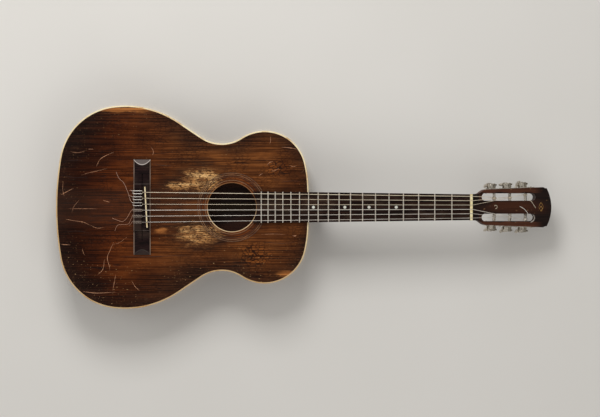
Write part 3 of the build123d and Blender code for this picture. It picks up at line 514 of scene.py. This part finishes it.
def marked_bone(name, clean, stained, gap):
    """Bone with a dark mark at each string; gap is the strings' spacing in millimetres."""
    p, colour, _ = ivory(name, clean, stained, 0.32, 160)
    wave = p.math("COSINE", p.times(p.xyz()[1], 2 * pi / (gap * MM)))
    return p.set(Base_Color=p.mix(p.step(wave, -0.72, -0.94, 0.0, 0.85), colour, srgb(70, 52, 34))).material


SEGMENTS = 240  # full turns of the wave that cuts the rosette's rings
RING_PITCH = 0.0016  # in metres, like the radii
DARK_RING_R = (0.0590, 0.0635)


def inlay_rings():
    """Rings round the soundhole: pale and dark by turns, cut into small segments, worn through in places."""
    p = Paint("inlay_rings", Specular_IOR_Level=0.3)
    x, y, _ = p.xyz()
    cut = p.math("SINE", p.times(p.math("ARCTAN2", y, x), SEGMENTS))
    warp = p.noise((50, 50, 50), detail=4.0, rough=0.65)
    ring = p.oval((0, 0), (1, 1))
    core = p.math("SINE", p.times(ring, 2 * pi / RING_PITCH))
    pale = p.mix(p.step(cut, -0.2, 0.2), srgb(164, 120, 82), srgb(112, 78, 52))
    colour = p.mix(p.step(core, -0.2, 0.2), pale, srgb(24, 14, 10))
    colour = p.mix(p.times(p.between(ring, *DARK_RING_R, 0.0010), 0.9), colour, srgb(24, 14, 10))
    colour = p.mix(p.step(warp, 0.50, 0.66, 0.0, 0.8), colour, srgb(48, 29, 20))
    return p.set(Base_Color=colour, Roughness=0.42, Normal=p.bump(warp, 0.0002, 0.6)).material


WINDING_PITCH = 0.36 * MM
KNOT_FRONT = bridge_low.x + 18 * MM


def wire_metal(name, colour, knot, tarnish, rough):
    """String wire, a little tarnished; knot is its colour on the tie block, on the wound wire a painted
    highlight, and loose ends are browned.
    """
    p = Paint(name, Metallic=0.45, Roughness=rough)
    x, _, _ = p.xyz()
    cloud = p.noise((26, 26, 26), rough=0.6)
    shade = p.mix(p.step(cloud, 0.45, 0.7, 0.0, 0.6), colour, tarnish)
    shade = p.mix(p.step(x, KNOT_FRONT, KNOT_FRONT - MM), shade, knot)
    loose = p.step(x, bridge_low.x, bridge_low.x - 5 * MM, 0.0, 0.85)
    return p.set(Base_Color=p.mix(loose, shade, srgb(172, 118, 88)))


def ribbed(p):
    """Adds the ribs of a wound string."""
    ribs = p.math("SINE", p.times(p.xyz()[0], 2 * pi / WINDING_PITCH))
    return p.set(Normal=p.bump(ribs, 0.00004, 0.3))


def metal(name, colour, tarnish, rough, spread, amount=0.6):
    """Plated or bare metal with tarnish in patches and fine scratches."""
    p = Paint(name, Metallic=1.0)
    cloud = p.noise((spread, spread, spread), detail=4.0, rough=0.65, twist=0.6)
    fine = p.noise((900, 900, 2600), detail=2.0)
    worn = p.step(cloud, 0.46, 0.66, 0.0, amount)
    shade = p.mix(worn, colour, tarnish)
    roughness = p.plus(p.times(worn, 0.3), p.step(fine, 0.3, 0.7, rough, rough + 0.1))
    return p.set(Base_Color=shade, Roughness=roughness, Normal=p.bump(fine, 0.00003, 0.5)).material


def pearl():
    """Mother-of-pearl: pale, with slow changes between pink, green and grey."""
    p = Paint("pearl")
    swirl = p.noise((420, 420, 420), twist=1.5)
    colour = p.ramp(swirl, (0.3, srgb(196, 186, 176)), (0.5, srgb(226, 226, 212)), (0.7, srgb(198, 206, 198)))
    normal = p.bump(swirl, 0.00005, 0.3)
    return p.set(Base_Color=colour, Roughness=0.22, Coat_Weight=0.4, Normal=normal).material


def backdrop():
    """Pale, even studio floor."""
    p = Paint("studio_floor", Roughness=0.85)
    cloud = p.noise((3, 3, 3), detail=2.0)
    return p.set(Base_Color=p.mix(cloud, srgb(214, 211, 205), srgb(220, 217, 212))).material


floor.data.materials.append(backdrop())

TOP_WOOD = aged_top()
BODY_WOOD = dark_wood("body_wood", srgb(40, 20, 14), srgb(74, 38, 24), srgb(104, 56, 32), 380)
NECK_WOOD = dark_wood("neck_wood", srgb(42, 22, 15), srgb(78, 42, 26), srgb(108, 62, 38), 420, 0.40, 0.6)
HEAD_VENEER = head_face()
BOARD_WOOD = ebony("board_wood", srgb(15, 9, 7), srgb(46, 28, 21), 0.25)[0].material
BRIDGE_WOOD = bridge_wood()
INNER_WOOD = raw_wood()
BINDING = aged_binding_with_painted_shade()
NUT_BONE = marked_bone("nut_bone", srgb(240, 228, 184), srgb(206, 180, 120), NUT_GAP)
SADDLE_BONE = marked_bone("saddle_bone", srgb(240, 224, 184), srgb(206, 178, 126), SADDLE_GAP)
RINGS = inlay_rings()
PEARL = pearl()
FRET_METAL = metal("fret_metal", srgb(232, 224, 210), srgb(150, 134, 112), 0.22, 300)
NICKEL = metal("nickel", srgb(214, 206, 192), srgb(84, 72, 58), 0.20, 190, 0.8)
GEAR_METAL = metal("gear_metal", srgb(164, 156, 142), srgb(88, 74, 58), 0.3, 220, 0.75)
steel = wire_metal("plain_wire", srgb(232, 224, 212), srgb(176, 160, 146), srgb(184, 170, 152), 0.42)
PLAIN_WIRE = steel.material
# the wound wire's knot colour, brighter than the wire, is a painted highlight on the tie loops
bronze = wire_metal("wound_wire", srgb(236, 222, 196), srgb(255, 250, 240), srgb(184, 162, 132), 0.46)
WOUND_WIRE = ribbed(bronze).material

PAINTED = {
    "soundboard": TOP_WOOD,
    "back_plate": BODY_WOOD,
    "side_bass": BODY_WOOD,
    "side_treble": BODY_WOOD,
    "tail_graft": BINDING,
    "neck": NECK_WOOD,
    "headstock": NECK_WOOD,
    "heel_cap": NECK_WOOD,
    "head_veneer": HEAD_VENEER,
    "fingerboard": BOARD_WOOD,
    "bridge": BRIDGE_WOOD,
    "top_binding": BINDING,
    "back_binding": BINDING,
    "rosette": RINGS,
    "saddle": SADDLE_BONE,
    "nut": NUT_BONE,
    "position_dots": PEARL,
    "frets": FRET_METAL,
    "tuner_plate_bass": NICKEL,
    "tuner_plate_treble": NICKEL,
    "plate_screws": NICKEL,
}
INNER = ("linings", "neck_block", "tail_block", "top_braces", "soundhole_patch", "back_braces", "back_strip")
for node in INNER:
    PAINTED[node] = INNER_WOOD
for number in range(1, 7):
    PAINTED[f"tuner_worm_{number}"] = NICKEL
    PAINTED[f"tuner_button_{number}"] = NICKEL
    PAINTED[f"string_post_{number}"] = NICKEL
    PAINTED[f"tuner_gear_{number}"] = GEAR_METAL
    PAINTED[f"string_{number}"] = WOUND_WIRE if number > 3 else PLAIN_WIRE
for node, material in PAINTED.items():
    slots = NODES[node].data.materials
    slots.clear()
    slots.append(material)

# ------------------------------------------------------------------ wires


def smooth(points, steps=6):
    """A Catmull-Rom line through given points."""
    ends = [points[0] * 2 - points[1], *points, points[-1] * 2 - points[-2]]
    line = []
    for a, b, c, d in zip(ends, ends[1:], ends[2:], ends[3:]):
        bend, twist = 2 * a - 5 * b + 4 * c - d, 3 * b - a - 3 * c + d
        for step in range(steps):
            t = step / steps
            line.append(0.5 * (2 * b + (c - a) * t + bend * t**2 + twist * t**3))
    return line + [points[-1]]


def wires(name, lines, radius, material, body):
    """Round wires along lines of points, as one curve object that rides on a body."""
    curve = bpy.data.curves.new(name, "CURVE")
    curve.dimensions = "3D"
    curve.bevel_depth = radius
    curve.bevel_resolution = 3
    curve.use_fill_caps = True
    for line in lines:
        spline = curve.splines.new("POLY")
        spline.points.add(len(line) - 1)
        for point, place in zip(spline.points, line):
            point.co = (*place, 1)
        spline.use_smooth = True
    piece = bpy.data.objects.new(name, curve)
    scene.collection.objects.link(piece)
    curve.materials.append(material)
    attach(piece, body)
    return piece


# string number: (diameter, distance of the string from the centreline at its post), in millimetres
STRINGS = {
    6: (1.10, 20.0),
    5: (0.90, 21.0),
    4: (0.76, 26.3),
    3: (1.02, 26.2),
    2: (0.82, 21.0),
    1: (0.72, 20.0),
}
POST_R = 3.0
WRAP_GAP = 0.3
WRAP_TURNS = 3.6
TURN_STEPS = 22
WRAP_PITCH = 1.03  # from turn to turn, in diameters of the string
TIE_LENGTH = 16.5
TIE_REAR = bridge_low.x / MM
TIE_FRONT = TIE_REAR + TIE_LENGTH
# heights above the soundboard: the tie block, its holes, the saddle and the nut's slots
TIE_H = 8.0
HOLE_H = 3.6
SADDLE_H = (saddle_high.z - TOP_Z) / MM
NUT_SLOT_H = 8.0
SADDLE_X = (saddle_low.x + saddle_high.x) / 2 / MM
SADDLE_SLANT = 0.055
# half widths of the tie loops, wound and plain
LOOP_HALF = 2.9
LOOP_HALF_PLAIN = 1.6
STRAIGHT = 0.6  # length of string kept straight over the front edge of the nut
# loose ends behind the bridge, given as (x, y, height above the soundboard) in millimetres
TAILS = {
    6: [(-206, 33.5, 3.0), (-203, 34.0, 6.0)],
    5: [(-207, 24.5, 1.4), (-204.5, 22.8, 4.0)],
    4: [(-233, 71, 1.2), (-228, 59, 0.8), (-218, 49, 1.5), (-211, 34, 4.0), (-206, 19, 4.5), (-203, 12, 6.5)],
    3: [(-241, -22, 1.4), (-231, -26, 0.8), (-220, -29, 1.2), (-211, -21, 3.0), (-204, -9, 5.0)],
    2: [(-236, -48, 0.8), (-231, -37, 0.8), (-223, -35, 1.6), (-209, -34, 3.0), (-203, -24, 5.0)],
    1: [(-207, -37, 2.2), (-204, -34, 4.6)],
}
# loose ends on the head, given as (along, across, up) in millimetres
HEAD_ENDS = {
    5: [(46, 2.2, 1.0), (48.5, 3.8, 1.2), (51.5, 2.0, 1.4), (50.5, -2.2, 1.2), (47.5, -3.0, 0.9)],
    4: [(121, 15.0, -1.5), (124, 11.5, 1.2), (128, 6.0, 1.6), (133.5, -1.5, 0.7)],
    3: [(119.5, -18.0, -2.0), (116, -12.0, 1.3), (110, -5.0, 2.2), (103, 0.0, 1.4), (99.5, 1.2, 0.8)],
    2: [(122, -30.5, 1.5), (127, -28.0, 2.0), (130.5, -22.0, 1.4), (128.5, -15.5, 0.8)],
}


def tie_knot(y, radius, half):
    """A string's loop over the tie block, from its loose end to its hole."""
    lie = TIE_H + radius
    return [
        (TIE_REAR - 1.6, y + half, lie - 1.4),
        (TIE_REAR + 0.4, y + half, lie + 0.05),
        (TIE_REAR + 4.0, y + half, lie),
        (TIE_FRONT - 4.0, y + half, lie),
        (TIE_FRONT - 0.4, y + half, lie + 0.05),
        (TIE_FRONT + radius + 0.7, y + half * 0.85, lie - 2.4),
        (TIE_FRONT + radius + 1.3, y, 3.2),
        (TIE_FRONT + radius + 0.7, y - half * 0.85, lie - 2.4),
        (TIE_FRONT - 0.4, y - half, lie + 0.05),
        (TIE_FRONT - 4.0, y - half, lie),
        (TIE_REAR + 4.0, y - half, lie),
        (TIE_REAR + 0.4, y - half, lie + 0.05),
        (TIE_REAR - radius - 0.6, y - half * 0.7, lie - 2.0),
        (TIE_REAR - radius - 0.3, y - 0.2, HOLE_H + 0.6),
        (TIE_REAR + 1.0, y, HOLE_H),
    ]


def over_saddle(y, radius):
    """A string's run out of its hole and up over the saddle."""
    crest = SADDLE_X - y * SADDLE_SLANT
    return [
        (TIE_FRONT - 0.6, y, HOLE_H),
        (TIE_FRONT + 1.0, y, HOLE_H + 1.0),
        (crest - 2.6, y, SADDLE_H - 1.6),
        (crest - 0.5, y, SADDLE_H + radius - 0.05),
        (crest + 1.2, y, SADDLE_H + radius),
    ]


def winding(number, radius, reach, leave):
    """The angle from a post's top at which a string meets it, and a function that gives its turns."""
    joint = JOINTS[f"post_turn_{number}"]
    hub = Vector(joint["pos_m"])
    outward = Vector(joint["axis"]).normalized()
    forward = (HEAD_ALONG - outward * HEAD_ALONG.dot(outward)).normalized()
    turn_r = (POST_R + WRAP_GAP + radius) * MM
    away = leave - hub
    rise, run = away.dot(HEAD_UP), -away.dot(forward)
    slope = atan2(rise, run) - atan2(turn_r, sqrt(rise**2 + run**2 - turn_r**2))
    grip = (reach * MM - abs(hub.y)) / abs(outward.y)

    def on_post(angle, inset=0.0):
        """A point of the winding, by its angle from the top of the post."""
        return hub + (forward * sin(angle) + HEAD_UP * cos(angle)) * turn_r + outward * (grip - inset)

    return slope, on_post


for number, (diameter, reach) in STRINGS.items():
    wound = number > 3
    radius = diameter / 2
    gaps = number - 3.5  # from the centreline, in gaps between strings
    y = gaps * SADDLE_GAP
    material = WOUND_WIRE if wound else PLAIN_WIRE
    behind = TAILS[number] + tie_knot(y, radius, LOOP_HALF if wound else LOOP_HALF_PLAIN)
    line = smooth([top_point(*place) for place in behind])
    line += smooth([top_point(*place) for place in over_saddle(y, radius)])
    leave = top_point(nut_high.x / MM, gaps * NUT_GAP, NUT_SLOT_H + radius + 0.02)
    line.append(Vector((nut_low.x, leave.y, leave.z)))
    # down to the top of the post, then round it
    slope, on_post = winding(number, radius, reach, leave)
    line += smooth([leave - Vector((STRAIGHT * MM, 0, 0)), leave, leave.lerp(on_post(slope), 0.02)], 4)
    line.append(on_post(slope))
    lines = [line]
    if number in HEAD_ENDS:
        lines.append(smooth([head_point(*place) for place in HEAD_ENDS[number]], 8))
    string = wires(f"string_{number}_wire", lines, radius * MM, material, "guitar")
    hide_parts(f"string_{number}")
    coil = []
    for step in range(int(WRAP_TURNS * TURN_STEPS) + 1):
        turns = step / TURN_STEPS
        coil.append(on_post(slope + 2 * pi * turns, turns * diameter * MM * WRAP_PITCH))
    wires(f"string_{number}_wrap", [coil], radius * MM, material, f"post_{number}")

# ------------------------------------------------------------------ scratches and the head's ornament


def ribbons(name, lines, material, place, up):
    """Thin raised lines on a surface, as one mesh: (width, points in mm), put in space by place."""
    points, faces = [], []
    for width, corners in lines:
        line = smooth([place(*corner) for corner in corners])
        last = len(line) - 1
        first = len(points)
        for step, point in enumerate(line):
            along = (line[min(step + 1, last)] - line[max(step - 1, 0)]).normalized()
            taper = LINE_TIP + (1 - LINE_TIP) * sin(pi * step / last)
            waver = 1 + LINE_WAVER * noise.noise(point * WAVER_SCALE)
            half = up.cross(along) * (width * MM / 2 * taper * waver)
            rise = up * LINE_RISE
            points += [point - half, point - rise, point + half, point + rise]
        for step in range(first, first + 4 * last, 4):
            for k in range(4):
                after = (k + 1) % 4
                faces.append((step + k, step + after, step + 4 + after, step + 4 + k))
        faces.append((first + 3, first + 2, first + 1, first))
        end = first + 4 * last
        faces.append((end, end + 1, end + 2, end + 3))
    mesh = bpy.data.meshes.new(name)
    mesh.from_pydata(points, [], faces)
    piece = bpy.data.objects.new(name, mesh)
    scene.collection.objects.link(piece)
    mesh.materials.append(material)
    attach(piece, "guitar")


LINE_RISE = 0.04 * MM
LINE_TIP = 0.2  # width at the ends of a line, as a share of its middle
LINE_WAVER = 0.5
WAVER_SCALE = 700
# (width, points along and across the soundboard), in millimetres
SCRATCHES = [
    (0.9, [(-238, 111), (-254, 104), (-266, 96), (-273, 82)]),
    (0.6, [(-251, 78), (-272, 73), (-289, 69), (-303, 65)]),
    (0.9, [(-318, 39), (-335, 30), (-344, 25)]),
    (0.7, [(-340, 52), (-341, 36), (-338, 22)]),
    (0.6, [(-328, -3), (-300, -3), (-272, -3)]),
    (1.0, [(-335, -24), (-320, -27), (-300, -30), (-286, -36)]),
    (0.7, [(-286, -36), (-272, -42), (-258, -41)]),
    (1.1, [(-260, 14), (-246, 10)]),
    (0.9, [(-238, -70), (-246, -88), (-251, -102), (-247, -119), (-246, -128)]),
    (0.9, [(-257, -105), (-260, -125), (-272, -137)]),
    (1.1, [(-300, -170), (-272, -173), (-234, -171)]),
    (0.8, [(-234, -135), (-237, -151), (-240, -168)]),
    (0.8, [(-202, -148), (-195, -160), (-186, -168)]),
    (1.2, [(-344, -75), (-326, -76)]),
    (0.6, [(-302, -83), (-300, -90), (-297, -97)]),
    (0.5, [(-323, -12), (-318, 2), (-308, 14)]),
    (0.5, [(-212, -60), (-226, -71), (-240, -75)]),
    (0.9, [(-290, 117), (-279, 117)]),
    (0.7, [(-326, 112), (-310, 110), (-296, 113)]),
    (0.8, [(-163, 122), (-158, 112), (-160, 105)]),
    (1.1, [(54, 63), (58, 66), (62, 68)]),
    (1.0, [(70, 84), (76, 90), (83, 92)]),
    (1.0, [(80, 73), (87, 74), (94, 78)]),
    (1.2, [(100, 121), (114, 120), (131, 117)]),
    (0.8, [(77, 143), (78, 134), (76, 127)]),
    (0.6, [(59, -55), (84, -54), (108, -55)]),
    (1.8, [(122, -57), (126, -58), (130, -57)]),
    (0.8, [(116, 84), (124, 82), (130, 84)]),
]
CRACKS = [
    (0.7, [(-225, -99), (-180, -100), (-120, -98), (-64, -99)]),
    (0.8, [(-160, 88), (-138, 84), (-118, 83)]),
    (0.6, [(96, 50), (118, 53), (140, 52)]),
    (0.6, [(-345, 64), (-318, 60), (-290, 61)]),
    (0.5, [(-342, 92), (-316, 95), (-296, 93)]),
    (0.6, [(-338, -50), (-310, -48), (-284, -52)]),
    (0.6, [(64, -70), (96, -73), (128, -71)]),
]


def plain(name, colour, rough, metallic=0.0):
    """A material with one worn colour."""
    p = Paint(name, Metallic=metallic, Roughness=rough)
    worn = p.step(p.noise((160, 160, 160), rough=0.6), 0.42, 0.60, 0.0, 0.85)
    return p.set(Base_Color=p.tint(worn, colour, 0.42, 0.36, 0.32)).material


UP = Vector((0, 0, 1))
SCRATCHED = plain("scratched", srgb(184, 130, 92), 0.6)
CRACKED = plain("cracked", srgb(18, 10, 8), 0.8)
ribbons("scratches", SCRATCHES, SCRATCHED, top_point, UP)
ribbons("cracks", CRACKS, CRACKED, top_point, UP)
# a plain diamond and dot in dull gold near the tip of the head
DIAMOND = [(150.0, 1.0), (145.0, 10.5), (140.0, 1.0), (145.0, -8.5)]
ORNAMENT = [(0.9, [a, b]) for a, b in zip(DIAMOND, DIAMOND[1:] + DIAMOND[:1])]
ORNAMENT += [(1.6, [(145.0, 3.4), (145.0, -1.4)]), (0.7, [(147.2, 1.0), (142.8, 1.0)])]
GOLD = plain("dull_gold", srgb(206, 160, 88), 0.35, 0.6)
ribbons("head_ornament", ORNAMENT, GOLD, head_point, HEAD_UP)
